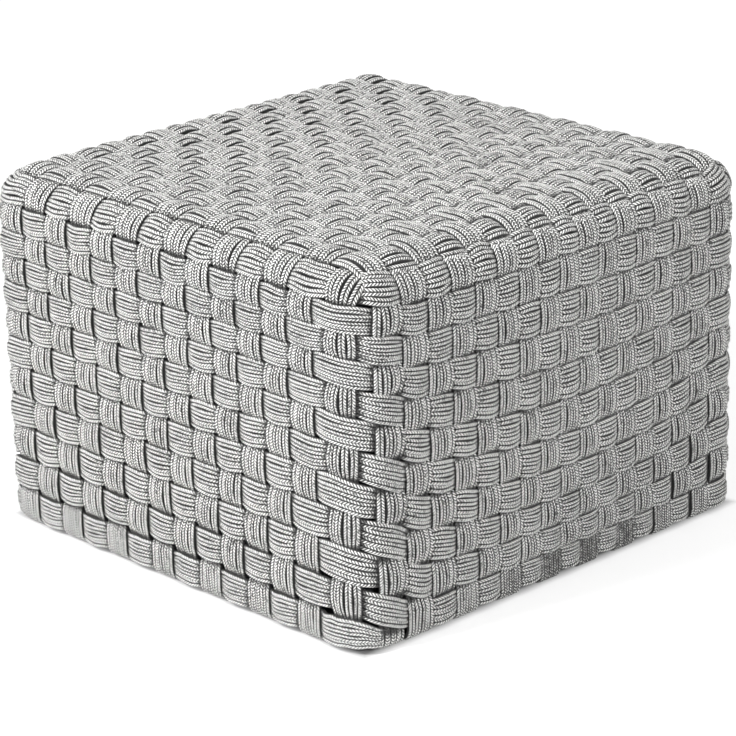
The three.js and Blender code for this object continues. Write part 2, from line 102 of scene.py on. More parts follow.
# Layout of the frame and the weave's mid-surface, as in the solids
weave_share = max(WEFT / (WEFT + ROW_GAP), WARP / (WARP + COLUMN_GAP))
swing = (CROWN + WEAVE_GAP) / (2 - weave_share)
mid = CORNER - swing - CROWN
core = np.array([WIDTH / 2 - CORNER, DEPTH / 2 - CORNER, HEIGHT - CORNER])
wrap = (TUBE + CLEAR) / math.cos(WRAP_HALF_FACET)
ring_inset = wrap + swing
ring_z = FLOOR_GAP + CROWN + wrap
surface = CORNER - LIFT - BULGE - HALF_THICK

# Rows
row_pitch = (WEFT + ROW_GAP) / LEAD_PITCH_SHARE
left_top, ring_top = HEIGHT - LEFT_TOP_DROP, HEIGHT - TOP_DROP
last_z = ring_z + LAST_RISE
left_rows = math.floor((left_top - last_z) / row_pitch) + 1
ring_rows = left_rows - 1
corner_len = mid * QUARTER
front_start = 2 * core[1] + corner_len
right_start = front_start + 2 * core[0] + corner_len
back_start = right_start + 2 * core[1] + corner_len
perimeter = back_start + 2 * core[0] + corner_len


# Columns
def bunched(part, bunch):
    """Share of a spread that a column stands at: wide apart at the start and closer further on."""
    return part + bunch * part * (1 - part) ** 2


cross_count = math.floor(2 * core[0] * (1 - CROSS_BUNCH_SHARE / 3) / (WARP + COLUMN_GAP)) + 1
cross_at = core[0] * (2 * bunched(np.arange(cross_count) / (cross_count - 1), CROSS_BUNCH_SHARE) - 1)
side_first = core[1] - BACK_INSET
side_spread = side_first + core[1] - FRONT_INSET
side_count = math.floor(side_spread / (WARP + SIDE_COLUMN_GAP)) + 2
side_at = side_first - side_spread * np.arange(side_count) / (side_count - 2)
side_at[-1] = -core[1] - CORNER * CORNER_LEAN


# Which band lies on top at a crossing
def over_left(row, side):
    return (row + side) % 2 == 1


def over_right(row, side):
    return (row + side + cross_count) % 2 == 0


def over_front(row, cross):
    return (row + cross + side_count) % 2 == 1


def over_back(row, cross):
    return (row + cross) % 2 == 0


def over_top(side, cross):
    return (side + cross) % 2 == 0


# Places along the perimeter and heights of the rows
def smooth(low, high, x):
    t = np.clip((x - low) / (high - low), 0, 1)
    return t * t * (3 - 2 * t)


def left_share(place):
    """1 on the left side, 0 past its two corners."""
    back_corner = perimeter - corner_len
    return (1 - smooth(front_start - SHIFT, front_start + SHIFT, place)
            + smooth(back_corner - SHIFT, back_corner + SHIFT, place))


def sag_share(place):
    """How much of the rows' sag the front and the back have at a place."""
    across = np.where(place < right_start, place - front_start, back_start + 2 * core[0] - place)
    share = (across / (2 * core[0]) - SAG_START_SHARE) / (1 - SAG_START_SHARE)
    return np.where((share > 0) & (share < 1), 4 * share * (1 - share), 0)


def row_height(row, place):
    """Height of a row's middle at places along the perimeter."""
    place = np.mod(place, perimeter)
    part = (row - 1) / (left_rows - 1)
    spread = EVEN_ROW_SHARE * part + (1 - EVEN_ROW_SHARE) * part * part
    on_left = left_top - (left_top - last_z) * spread
    part = min(1, (row - 1) / (ring_rows - 1))
    sag = SAG * sag_share(place) * math.sin(math.pi * part ** SAG_POWER)
    other = ring_top - (ring_top - last_z) * part - sag
    share = left_share(place)
    lift = (smooth(2 * core[1] * LIFT_START_SHARE, 2 * core[1], place)
            - smooth(front_start, front_start + 2 * core[0] * LIFT_END_SHARE, place))
    height = other * (1 - share) + on_left * share + CORNER_LIFT * lift * math.sin(math.pi * part)
    if row > 1:
        return height
    # the first row sits high, less so on the front, and climbs the corner right of it
    on_front = (smooth(front_start - SHIFT, front_start + SHIFT, place)
                - smooth(right_start - SHIFT, right_start, place))
    from_corner = (place - right_start + corner_len / 2) / CLIMB_REACH
    return (height + TOP_ROW_RISE * (1 - FRONT_LOSS_SHARE * on_front)
            + CORNER_CLIMB * np.exp(-from_corner ** 2))


def elevation(z, radius):
    """Angle on the rounding of the top edge at a height."""
    return np.arcsin(np.clip((z - core[2]) / radius, 0, 1))


def side_place(at, on_right, lean=0.0):
    """Place along the perimeter of a side-to-side column."""
    turn = max(0.0, -core[1] - at) / CORNER
    turn = math.asin(min(1, math.sin(turn) / math.cos(lean)))
    flat = max(at, -core[1])
    if on_right:
        return right_start + flat + core[1] - mid * turn
    return core[1] - flat + mid * turn


def cross_place(at, on_back):
    """Place along the perimeter of a front-to-back column."""
    return back_start + core[0] - at if on_back else front_start + at + core[0]


# Wander: a few waves of random length, phase and height added up, and the weave's own wave
WAVES, LOOP_WAVES = 5, 6
LEAST_LENGTH_SHARE, LENGTH_RANGE_SHARE = 0.6, 0.9
LEAST_TURNS, TURNS_LIMIT = 8, 60
LEAST_HEIGHT_SHARE, HEIGHT_RANGE_SHARE = 0.35, 0.3
WANDER_SUM, LOOP_SUM = 1.4, 1.5


def one_wave(rng, turns):
    """A wave of random phase, then random height, that has made so many turns at each point."""
    wave = np.sin(2 * math.pi * (turns + rng.rand()))
    return wave * (LEAST_HEIGHT_SHARE + HEIGHT_RANGE_SHARE * rng.rand())


def wander(x, seed, length):
    """A smooth wave of about unit height along x, with no two seeds alike."""
    rng = np.random.RandomState(seed)
    total = np.zeros_like(x)
    for _ in range(WAVES):
        wave_length = length * (LEAST_LENGTH_SHARE + LENGTH_RANGE_SHARE * rng.rand())
        total += one_wave(rng, x / wave_length)
    return total / WANDER_SUM


def wander_loop(place, seed, length):
    """Like wander, but it meets itself after a whole turn of the perimeter."""
    rng = np.random.RandomState(seed)
    total = np.zeros_like(place)
    for _ in range(LOOP_WAVES):
        turns = rng.randint(LEAST_TURNS, TURNS_LIMIT)
        total += one_wave(rng, place / length * turns)
    return total / LOOP_SUM


def lift_between(x, at, sign, closed_length=None):
    """-1 to 1 along x: sign at each crossing, a quick change half way between."""
    at, sign = np.asarray(at, float), np.asarray(sign, float)
    if closed_length:
        at = np.concatenate([[at[-1] - closed_length], at, [at[0] + closed_length]])
        sign = np.concatenate([[sign[-1]], sign, [sign[0]]])
    k = np.clip(np.searchsorted(at, x) - 1, 0, len(at) - 2)
    # on a long way between two crossings a band comes up early and goes down late
    reach = np.minimum(at[k + 1] - at[k], TURN_REACH)
    t = np.where(sign[k] < sign[k + 1], (x - at[k]) / reach, 1 - (at[k + 1] - x) / reach)
    t = np.clip(t, 0, 1)
    mean, half = (sign[k] + sign[k + 1]) / 2, (sign[k] - sign[k + 1]) / 2
    plain = np.cos(math.pi * t)
    return mean + half * np.sin(QUARTER * plain), mean + half * plain


def lift_of(wave, plain, c):
    """Height of cord c over the mid-surface: pads swell in their middle and fall off to their outer cords."""
    middle = (CORDS - 1) / 2
    fall = CROWN_FALL * ((c - middle) / middle) ** 2 * np.clip(wave, 0, 1)
    return LIFT * wave + BULGE * plain - fall


# Cord section and mesh. The section starts in the groove between the two lobes and is a share of the
# cord's half width and half thickness
SECTION = np.array([
    (0.0, 0.42), (0.14, 0.72), (0.32, 0.95), (0.54, 1.0), (0.76, 0.86), (0.93, 0.48), (1.0, -0.05),
    (0.88, -0.6), (0.5, -0.92), (0.0, -0.8), (-0.5, -0.92), (-0.88, -0.6), (-1.0, -0.05), (-0.93, 0.48),
    (-0.76, 0.86), (-0.54, 1.0), (-0.32, 0.95), (-0.14, 0.72)])
SIDE_FROM_SHARE, SIDE_FULL_SHARE = 0.3, 0.7
section_size = SECTION * [HALF_WIDE, HALF_THICK]
section_edges = np.linalg.norm(np.roll(section_size, -1, 0) - section_size, axis=1)
around_cord = float(section_edges.sum())
on_first_side = smooth(SIDE_FROM_SHARE, SIDE_FULL_SHARE, -SECTION[:, 0])
on_second_side = smooth(SIDE_FROM_SHARE, SIDE_FULL_SHARE, SECTION[:, 0])

# wide is a share of the plain width; on_top runs from -1 to 1 and sets the painted shade where a cord dips;
# free is how freely each side stands and lifts the painted shade down that flank
Cord = namedtuple("Cord", "centres normals wide closed tone on_top free")


def unit_rows(vectors):
    return vectors / np.linalg.norm(vectors, axis=1)[:, None]


def cord_rings(cord):
    """The section's points at each centre of a cord, and the length along the cord at each."""
    centres = cord.centres
    if cord.closed:
        along = unit_rows(np.roll(centres, -1, 0) - np.roll(centres, 1, 0))
    else:
        along = unit_rows(np.gradient(centres, axis=0))
    side = unit_rows(np.cross(cord.normals, along))
    up = np.cross(along, side)
    across = section_size[None, :, 0:1] * cord.wide[:, None, None]
    rings = centres[:, None] + side[:, None] * across + up[:, None] * section_size[None, :, 1:2]
    steps = np.linalg.norm(np.roll(centres, -1, 0) - centres, axis=1)
    return rings.reshape(-1, 3), np.concatenate([[0], np.cumsum(steps)])


def cord_mesh(name, cords, pull):
    """One mesh of cords with a map that runs along and round each; pull stretches the map's length."""
    verts, quads, caps, uvs, cap_uvs, tones, tops, frees = [], [], [], [], [], [], [], []
    base = 0
    count = len(SECTION)
    around = np.concatenate([[0], np.cumsum(section_edges)])
    for cord in cords:
        n = len(cord.centres)
        points, gone = cord_rings(cord)
        verts.append(points)
        i = np.arange(n if cord.closed else n - 1)[:, None]
        j = np.arange(count)[None]
        i2, j2 = (i + 1) % n, (j + 1) % count
        corners = np.stack([i * count + j, i * count + j2, i2 * count + j2, i2 * count + j], -1)
        quads.append(corners.reshape(-1, 4) + base)
        # the seam of the map lies in the outer groove; v runs round the cord from it
        u0, u1 = (gone[i] + 0 * j) * pull, (gone[i + 1] + 0 * j) * pull
        v0, v1 = around[j] + 0 * i, around[j + 1] + 0 * i
        uvs.append(np.stack([np.stack([u0, v0], -1), np.stack([u0, v1], -1),
                             np.stack([u1, v1], -1), np.stack([u1, v0], -1)], 2).reshape(-1, 2))
        if not cord.closed:
            caps += [np.arange(count)[::-1] + base, np.arange(count) + (n - 1) * count + base]
            cap_uvs += [np.zeros((count, 2)), np.zeros((count, 2))]
        tones.append(np.full(n * count, cord.tone))
        tops.append(np.repeat(cord.on_top, count))
        frees.append(np.tile(cord.free[0] * on_first_side + cord.free[1] * on_second_side, n))
        base += n * count
    return fill_mesh(name, np.concatenate(verts), np.concatenate(quads), caps, np.concatenate(uvs + cap_uvs),
                     {"tone": tones, "on_top": tops, "free_edge": frees})


def fill_mesh(name, verts, quads, caps, uv, attributes):
    """A smooth object of quads and end caps, with one map and a value of each attribute at every point."""
    count = len(SECTION)
    loops = np.concatenate([quads.ravel()] + caps).astype(np.int32)
    sizes = np.concatenate([np.full(len(quads), 4), np.full(len(caps), count)]).astype(np.int32)
    starts = np.concatenate([[0], np.cumsum(sizes)[:-1]]).astype(np.int32)
    mesh = bpy.data.meshes.new(name)
    mesh.vertices.add(len(verts))
    mesh.vertices.foreach_set("co", verts.ravel().astype(np.float32))
    mesh.loops.add(len(loops))
    mesh.loops.foreach_set("vertex_index", loops)
    mesh.polygons.add(len(sizes))
    mesh.polygons.foreach_set("loop_start", starts)
    mesh.polygons.foreach_set("loop_total", sizes)
    mesh.polygons.foreach_set("use_smooth", np.ones(len(sizes), bool))
    layer = mesh.uv_layers.new(name="cord")
    layer.data.foreach_set("uv", uv.ravel().astype(np.float32))
    for key, values in attributes.items():
        layer = mesh.attributes.new(key, "FLOAT", "POINT")
        layer.data.foreach_set("value", np.concatenate(values).astype(np.float32))
    mesh.update()
    mesh.validate()
    return bpy.data.objects.new(name, mesh)


# Cords of the rows
def perimeter_frame(place, rise):
    """Point of the core and outward normal at places on the perimeter; rise is arc length above the floor."""
    place = np.mod(place, perimeter)
    starts = np.array([0, front_start, right_start, back_start])
    runs = np.array([2 * core[1], 2 * core[0], 2 * core[1], 2 * core[0]])
    from_x = np.array([-core[0], -core[0], core[0], core[0]])
    from_y = np.array([core[1], -core[1], -core[1], core[1]])
    face = np.searchsorted(starts, place, side="right") - 1
    gone = place - starts[face]
    heading = face * QUARTER - QUARTER
    run = np.minimum(gone, runs[face])
    turn = np.maximum(0, gone - runs[face]) / mid
    out = heading - QUARTER + turn
    lean = np.clip((rise - core[2]) / surface, 0, QUARTER)
    normal = np.stack([np.cos(out) * np.cos(lean), np.sin(out) * np.cos(lean), np.sin(lean)], -1)
    base = np.stack([from_x[face] + np.cos(heading) * run, from_y[face] + np.sin(heading) * run,
                     np.minimum(rise, core[2])], -1)
    return base, normal


def row_crossings(row):
    """Places along the perimeter where columns cross a row, each with 1 if the row is on top, else -1."""
    short = row > ring_rows
    marks = []
    for k, at in enumerate(side_at):
        lean = float(elevation(row_height(row, np.array(side_place(at, False))), mid))
        marks.append((side_place(at, False, lean), -1 if over_left(row, k + 1) else 1))
        if not short:
            lean = float(elevation(row_height(row, np.array(side_place(at, True))), mid))
            marks.append((side_place(at, True, lean), -1 if over_right(row, k + 1) else 1))
    if not short:
        for k, at in enumerate(cross_at):
            marks.append((cross_place(at, False), -1 if over_front(row, k + 1) else 1))
            marks.append((cross_place(at, True), -1 if over_back(row, k + 1) else 1))
    marks.sort()
    places, signs = [m[0] for m in marks], [m[1] for m in marks]
    if not short:
        return places, signs
    # past both corners the short row dips behind the first column of the back and of the front
    far_corner = 2 * core[1]
    places = ([-SHORT_END_SHARE * corner_len, -BACK_MARK_SHARE * corner_len] + places
              + [far_corner + FRONT_MARK_SHARE * corner_len, far_corner + SHORT_END_SHARE * corner_len])
    return places, [-1, SHORT_LIFT_SHARE] + signs + [SHORT_LIFT_SHARE, -1]


def row_fill(row, place, height):
    """How wide a row's cords spread for the room between its neighbours."""
    above = row_height(row - 1, place) if row > 1 else height + ROOM_ABOVE_FIRST
    below = row_height(row + 1, place) if row < ring_rows else height - ROOM_BELOW_LAST
    return np.clip((above - below) / 2 / PLAIN_ROOM, *ROW_FILL_SHARES)


def ring_cords(row):
    """The four cords of a row that goes all the way round, or of the left side's short last row."""
    short = row > ring_rows
    at, sign = row_crossings(row)
    if short:
        place = np.linspace(at[0], at[-1], round((at[-1] - at[0]) / STEP) + 1)
    else:
        n = round(perimeter / STEP)
        place = perimeter * np.arange(n) / n
    loop = 1.0 if short else perimeter
    wave, plain = lift_between(place, at, sign, None if short else perimeter)
    height = row_height(row, place)
    last = smooth(last_z + LAST_ROW_REACH, last_z, height)
    fill = row_fill(row, place, height)
    if short:
        # both ends bend down and draw together behind the first column round the corner
        tail = (smooth(2 * core[1] + TAIL_START_SHARE * corner_len, at[-1], place)
                + smooth(-TAIL_START_SHARE * corner_len, at[0], place))
        height = height - TAIL_DROP * tail
        fill = fill * (1 - TAIL_LOSS_SHARE * tail)
    spread = fill * (DIP_SHARE + SWELL_SHARE * plain) - LAST_ROW_LOSS_SHARE * last
    cords = []
    for c in range(CORDS):
        seed = row * SEEDS_A_BAND + c
        rise = height + (c - (CORDS - 1) / 2) * CORD_PITCH * spread
        rise = rise + CORD_SWAY * wander_loop(place, seed, loop)
        rise = rise + BAND_SWAY * wander_loop(place, seed - c + BAND_SEED, loop)
        # the arc length above the top of the flat sides runs on over the rounding
        over_core = core[2] + (height - core[2]) * ROUNDING_SPREAD_SHARE + rise - height
        rise = np.where(height > core[2], over_core, rise)
        base, normal = perimeter_frame(place, rise)
        lift = lift_of(wave, plain, c) + LIFT_SWAY * wander_loop(place, seed + LIFT_SEED, loop)
        wide = fill * (1 + WIDTH_SWAY_SHARE * wander_loop(place, seed + WIDTH_SEED, loop))
        free = FREE_SIDES[c]
        if row == 1:
            # on the rounding the cords fan out and show more of their sides
            wide = wide * TOP_ROW_WIDE_SHARE
            free = np.maximum(free, LEAST_TOP_ROW_FREE)
        tone = np.random.RandomState(seed + TONE_SEED).rand()
        centres = base + normal * (surface + lift)[:, None]
        cords.append(Cord(centres, normal, wide, not short, tone, wave, free))
    return cords


# Cords of the columns
FRONT_DRIFT, DRIFT_START, DRIFT_FULL = 5 * MM, 90 * MM, 200 * MM
DRIFT_HIGH, DRIFT_LOW = 150 * MM, 50 * MM
SIDE_DRIFT_SHARE, STRAIGHT_AT = 0.03, 20 * MM
SIDE_DRIFT_FROM, SIDE_DRIFT_FULL = -260 * MM, -40 * MM


def column_drift(at, side_to_side, x, z):
    """How far a column strays sideways from its straight line at a place along it."""
    if side_to_side:
        return SIDE_DRIFT_SHARE * (at - STRAIGHT_AT) * smooth(SIDE_DRIFT_FROM, SIDE_DRIFT_FULL, x)
    return FRONT_DRIFT * smooth(DRIFT_START, DRIFT_FULL, at) * smooth(DRIFT_HIGH, DRIFT_LOW, z)


def lateral(value, half):
    """Flat part and turn on the rounding of a distance across the top."""
    return np.clip(value, -half, half), (value - np.clip(value, -half, half)) / surface


def column_crossings(index, side_to_side, side, radius, middle):
    """Lengths along a column where rows and other columns cross it, each with 1 if it is on top, else -1."""
    at = side_at[index] if side_to_side else cross_at[index]
    number = index + 1

    def gone_at(row, place):
        z = float(row_height(row, np.array(place)))
        return z - ring_z if z <= core[2] else side + radius * float(elevation(z, mid))

    marks = []
    if side_to_side:
        for row in range(1, left_rows + 1):
            marks.append((gone_at(row, side_place(at, False)), 1 if over_left(row, number) else -1))
        for k, other in enumerate(cross_at):
            marks.append((middle + other, 1 if over_top(number, k + 1) else -1))
        for row in range(1, ring_rows + 1):
            far = 2 * middle - gone_at(row, side_place(at, True))
            marks.append((far, 1 if over_right(row, number) else -1))
    else:
        for row in range(1, ring_rows + 1):
            far = 2 * middle - gone_at(row, cross_place(at, True))
            marks.append((gone_at(row, cross_place(at, False)), 1 if over_front(row, number) else -1))
            marks.append((far, 1 if over_back(row, number) else -1))
        for k, other in enumerate(side_at):
            lean = max(0.0, -core[1] - other) / CORNER
            place = middle + other if lean == 0 else side + radius * (QUARTER - lean)
            marks.append((place, -1 if over_top(k + 1, number) else 1))
    marks.sort()
    return [m[0] for m in marks], [m[1] for m in marks]


def column_fill(index, side_to_side, climbed):
    """How wide a column's cords spread; climbed is how far it is round the top edge, 0 to 1."""
    if side_to_side:
        return SIDE_FILL_SHARE + SEAT_FILL_SHARE * climbed
    room = np.gradient(cross_at)[index]
    return np.full_like(climbed, np.clip(room / PLAIN_ROOM, *CROSS_FILL_SHARES))


def end_to_end(starts, middle, ends):
    return np.concatenate([starts[::-1], middle, ends])


def warp_cords(index, side_to_side):
    """The four cords of a band that climbs a side, crosses the top and goes down the far side."""
    at = side_at[index] if side_to_side else cross_at[index]
    half, reach = (core[1], core[0]) if side_to_side else (core[0], core[1])
    # the last side-to-side column lies on the rounding of the front top edge, turned about it
    edge_turn = max(0.0, -core[1] - at) / CORNER if side_to_side else 0.0
    middle_value = at if edge_turn == 0 else -core[1] - edge_turn * surface
    radius = surface * math.cos(edge_turn)
    side = core[2] - ring_z
    arc = radius * QUARTER
    length = 2 * (side + arc + reach)
    spots, sign = column_crossings(index, side_to_side, side, radius, side + arc + reach)
    low, high = LOWEST_CROSSING, length - LOWEST_CROSSING
    gone = np.linspace(low, high, round((high - low) / STEP) + 1)
    wave, plain = lift_between(gone, spots, sign)
    from_end = np.minimum(gone, length - gone)
    outward = np.where(gone < length / 2, -1.0, 1.0)
    turned = np.clip((from_end - side) / radius, 0, QUARTER)
    along = outward * (reach - np.maximum(0, from_end - side - arc))
    z = np.minimum(core[2], ring_z + from_end)
    fill = column_fill(index, side_to_side, np.clip((from_end - side) / arc, 0, 1))
    drift = column_drift(at, side_to_side, along, from_end + ring_z)
    # the first column on the front passes over the end of the short last row
    beside_short = not side_to_side and index == 0
    far_round = abs(middle_value) < FAR_WRAP_REACH
    cords = []
    for c in range(CORDS):
        seed = (SIDE_SEED if side_to_side else CROSS_SEED) + index * SEEDS_A_BAND + c
        spread = (c - (CORDS - 1) / 2) * CORD_PITCH * fill * (DIP_SHARE + SWELL_SHARE * plain)
        value = middle_value + spread + CORD_SWAY * wander(gone, seed, CORD_SWAY_LENGTH) + drift
        value = value + BAND_SWAY * wander(gone, seed - c + BAND_SEED, BAND_SWAY_LENGTH)
        flat, lean = lateral(value, half)
        onward, up = outward * np.cos(lean) * np.cos(turned), np.cos(lean) * np.sin(turned)
        if side_to_side:
            base, normal = np.stack([along, flat, z], -1), np.stack([onward, np.sin(lean), up], -1)
        else:
            base, normal = np.stack([flat, along, z], -1), np.stack([np.sin(lean), onward, up], -1)
        lift = lift_of(wave, plain, c) + LIFT_SWAY * wander(gone, seed + LIFT_SEED, LIFT_SWAY_LENGTH)
        centres = base + normal * (surface + lift)[:, None]
        wide = fill * (1 + WIDTH_SWAY_SHARE * wander(gone, seed + WIDTH_SEED, WIDTH_SWAY_LENGTH))
        tone = np.random.RandomState(seed + TONE_SEED).rand()
        starts = wrap_end(centres[0], normal[0], wave[0] > 0, far_round, beside_short)
        ends = wrap_end(centres[-1], normal[-1], wave[-1] > 0, far_round)
        first, last = np.ones(len(starts[0])), np.ones(len(ends[0]))
        on_top_first = first * wave[0]
        if beside_short:
            on_top_first = smooth(0, EMERGING_REACH, gone[0] + ring_z - starts[0][:, 2]) * 2 - 1
        centres = end_to_end(starts[0], centres, ends[0])
        normal = end_to_end(starts[1], normal, ends[1])
        wide = end_to_end(first * wide[0], wide, last * wide[-1])
        on_top = end_to_end(on_top_first, wave, last * wave[-1])
        free = FREE_SIDES[c] if side_to_side else FREE_SIDES[c][::-1]
        cords.append(Cord(centres, normal, wide, False, tone, on_top, free))
    return cords


def wrap_end(last, normal, over, far_round, emerging=False):
    """Carries a cord from its last point round the base ring's tube; returns points and normals."""
    upward = np.array([0, 0, 1])
    out = np.array([normal[0], normal[1], 0.0])
    out /= np.linalg.norm(out)
    # distances along out: the last point's, the core's, and the tube's centre line
    last_out = float(np.dot(last, out))
    if min(abs(out[0]), abs(out[1])) < SQUARE_LIMIT:
        core_out = core[0] * abs(out[0]) + core[1] * abs(out[1])
    else:
        corner = np.array([math.copysign(core[0], out[0]), math.copysign(core[1], out[1]), 0])
        core_out = float(np.dot(corner, out))
    tube_out = core_out + mid - ring_inset
    radius = TUBE + CLEAR + HALF_THICK
    points = [np.array([last_out, last[2]])]
    shares = OVER_END_SHARES if over else EMERGING_END_SHARES if emerging else ()
    for share, height in shares:
        points.append(np.array([core_out + surface + LIFT * share, height]))
    begin = WRAP_FROM_OVER if shares else WRAP_FROM_UNDER
    for angle in range(begin, (FAR_WRAP_TO if far_round else WRAP_TO) + 1, WRAP_STEP):
        turn = math.radians(angle)
        points.append(np.array([tube_out + radius * math.cos(turn), ring_z - radius * math.sin(turn)]))
    points = np.array(points)
    # even steps along a smooth curve through these points
    from_start = np.concatenate([[0], np.cumsum(np.linalg.norm(np.diff(points, axis=0), axis=1))])
    n = max(LEAST_WRAP_STEPS, round(from_start[-1] / STEP))
    t = np.linspace(0, from_start[-1], n + 1)[1:]
    curve = np.stack([np.interp(t, from_start, points[:, 0]), np.interp(t, from_start, points[:, 1])], -1)
    for _ in range(SMOOTH_PASSES):
        curve[1:-1] = (curve[:-2] + 2 * curve[1:-1] + curve[2:]) / 4
    path = last + out * (curve[:, 0:1] - last_out) + upward * (curve[:, 1:2] - last[2])
    along = unit_rows(np.gradient(np.concatenate([[last], path]), axis=0)[1:])
    normals = out * -along[:, 2:3] + upward * (along @ out)[:, None]
    return path, normals


# Material nodes
def node(tree, kind, **values):
    n = tree.nodes.new(kind)
    for key, value in values.items():
        setattr(n, key, value)
    return n


def math_node(tree, operation, a, b=None, c=None, clamp=False):
    n = node(tree, "ShaderNodeMath", operation=operation, use_clamp=clamp)
    for socket, value in zip(n.inputs, (a, b, c)):
        if value is None:
            continue
        if isinstance(value, (int, float)):
            socket.default_value = value
        else:
            tree.links.new(value, socket)
    return n.outputs[0]


def new_material(name):
    material = bpy.data.materials.new(name)
    material.use_nodes = True
    tree = material.node_tree
    tree.nodes.clear()
    shader = node(tree, "ShaderNodeBsdfPrincipled")
    out = node(tree, "ShaderNodeOutputMaterial")
    tree.links.new(shader.outputs[0], out.inputs["Surface"])
    return material, tree, shader


def ramp(tree, factor, stops):
    n = node(tree, "ShaderNodeValToRGB")
    elements = n.color_ramp.elements
    while len(elements) < len(stops):
        elements.new(0.5)
    for element, (position, colour) in zip(elements, stops):
        element.position = position
        element.color = (*colour, 1)
    tree.links.new(factor, n.inputs[0])
    return n.outputs[0]


def noise(tree, scale, detail):
    """Noise in the object's own metres."""
    coordinates = node(tree, "ShaderNodeTexCoord")
    n = node(tree, "ShaderNodeTexNoise")
    n.inputs["Scale"].default_value = scale
    n.inputs["Detail"].default_value = detail
    tree.links.new(coordinates.outputs["Object"], n.inputs["Vector"])
    return n.outputs[0]


def attribute(tree, name):
    return node(tree, "ShaderNodeAttribute", attribute_name=name, attribute_type="GEOMETRY").outputs["Fac"]


def add_bump(tree, shader, height, strength, depth):
    bump = node(tree, "ShaderNodeBump")
    bump.inputs["Strength"].default_value = strength
    bump.inputs["Distance"].default_value = depth
    tree.links.new(height, bump.inputs["Height"])
    tree.links.new(bump.outputs[0], shader.inputs["Normal"])


# Materials
STITCH, STITCH_SLANT, STITCH_SHIFT = 3.05 * MM, 0.9, 7.0
# painted shade in the groove between a cord's two lobes and down the flanks that neighbouring cords hide:
# where it starts, how steeply it falls, and how far a free side lifts it
GROOVE_SHADE_SLOPE, GROOVE_SHADE_START = 9.0, -0.3
FLANK_SHADE_SLOPE, FLANK_SHADE_START, FREE_SIDE_SHADE_LIFT = -9.5, 3.52, 0.9


def plait_stroke(tree, u, away, tone):
    """0 between two plait strokes and 1 on the crest of one; they slant towards the groove."""
    turns = math_node(tree, "MULTIPLY_ADD", away, STITCH_SLANT / STITCH,
                      math_node(tree, "MULTIPLY", u, 1 / STITCH))
    turns = math_node(tree, "ADD", turns, math_node(tree, "MULTIPLY", tone, STITCH_SHIFT))
    part = math_node(tree, "FRACT", turns)
    return math_node(tree, "PINGPONG", math_node(tree, "MULTIPLY", part, 2.0), 1.0)


def painted_lobe_shade(tree, away):
    """1 on a lobe, 0 in the groove between the two lobes and down the flanks that neighbours hide: painted
    shade, the colour darkened there to stand in for the shade that falls in them.
    """
    place = math_node(tree, "DIVIDE", away, around_cord / 2)
    off_groove = math_node(tree, "MULTIPLY_ADD", place, GROOVE_SHADE_SLOPE, GROOVE_SHADE_START, clamp=True)
    off_flank = math_node(tree, "MULTIPLY_ADD", attribute(tree, "free_edge"), FREE_SIDE_SHADE_LIFT,
                          math_node(tree, "MULTIPLY_ADD", place, FLANK_SHADE_SLOPE, FLANK_SHADE_START), clamp=True)
    return math_node(tree, "MULTIPLY", off_groove, off_flank)


def at_least(tree, factor, least):
    """0 to 1 turned into least to 1."""
    return math_node(tree, "MULTIPLY_ADD", factor, 1 - least, least)


def rope_material():
    """Braided cord: slanting plait strokes on both lobes, fine yarn and an uneven, light grey, with shade
    painted into its colour between the strokes, in the grooves and between cords, and where a cord dips under
    another band.
    """
    material, tree, shader = new_material("rope_braid")
    uv = node(tree, "ShaderNodeUVMap", uv_map="cord")
    split = node(tree, "ShaderNodeSeparateXYZ")
    tree.links.new(uv.outputs[0], split.inputs[0])
    # distance from the outer groove, the same on both sides of it
    away = math_node(tree, "PINGPONG", split.outputs[1], around_cord / 2)
    tone = attribute(tree, "tone")
    peak = plait_stroke(tree, split.outputs[0], away, tone)
    fibre = noise(tree, scale=1100, detail=2)
    speck = noise(tree, scale=420, detail=1)
    patch = noise(tree, scale=30, detail=3)
    ridge = math_node(tree, "SINE", math_node(tree, "MULTIPLY", peak, QUARTER))
    height = math_node(tree, "MULTIPLY_ADD", fibre, 0.3, ridge)
    add_bump(tree, shader, height, strength=1.0, depth=0.5 * MM)
    # the shade is a product of the strokes with painted shade between them, the lobes with painted shade in
    # their groove and down hidden flanks, the yarn's own level, and painted shade where the cord dips under
    # another band
    level = math_node(tree, "MULTIPLY_ADD", fibre, 0.7, -0.66)
    level = math_node(tree, "MULTIPLY_ADD", speck, 2.1, level)
    level = math_node(tree, "MULTIPLY_ADD", patch, 0.35, level)
    level = math_node(tree, "MULTIPLY_ADD", tone, 0.14, level)
    # painted shade: the colour darkens between the plait strokes, standing in for the shade in the crevices
    # between them
    mark = math_node(tree, "MULTIPLY_ADD", peak, 3.0, -1.0, clamp=True)
    lobe = painted_lobe_shade(tree, away)
    # painted shade: the colour darkens where the cord dips under a crossing band, standing in for the shade
    # there
    high = math_node(tree, "MULTIPLY_ADD", attribute(tree, "on_top"), 1.3, 0.15, clamp=True)
    shade = math_node(tree, "MULTIPLY", at_least(tree, mark, 0.22), level)
    shade = math_node(tree, "MULTIPLY", shade, at_least(tree, lobe, 0.1))
    shade = math_node(tree, "MULTIPLY", shade, at_least(tree, high, 0.25), clamp=True)
    # the darkest stops of the ramp hold the painted shade of crevices, grooves and dips
    colour = ramp(tree, shade, [
        (0.05, (0.012, 0.012, 0.012)), (0.4, (0.17, 0.17, 0.165)), (0.68, (0.7, 0.7, 0.682)),
        (0.9, (0.98, 0.98, 0.96))])
    tree.links.new(colour, shader.inputs["Base Color"])
    shader.inputs["Roughness"].default_value = 0.8
    shader.inputs["Specular IOR Level"].default_value = 0.3
    shader.inputs["Sheen Weight"].default_value = 0.15
    shader.inputs["Sheen Roughness"].default_value = 0.5
    return material


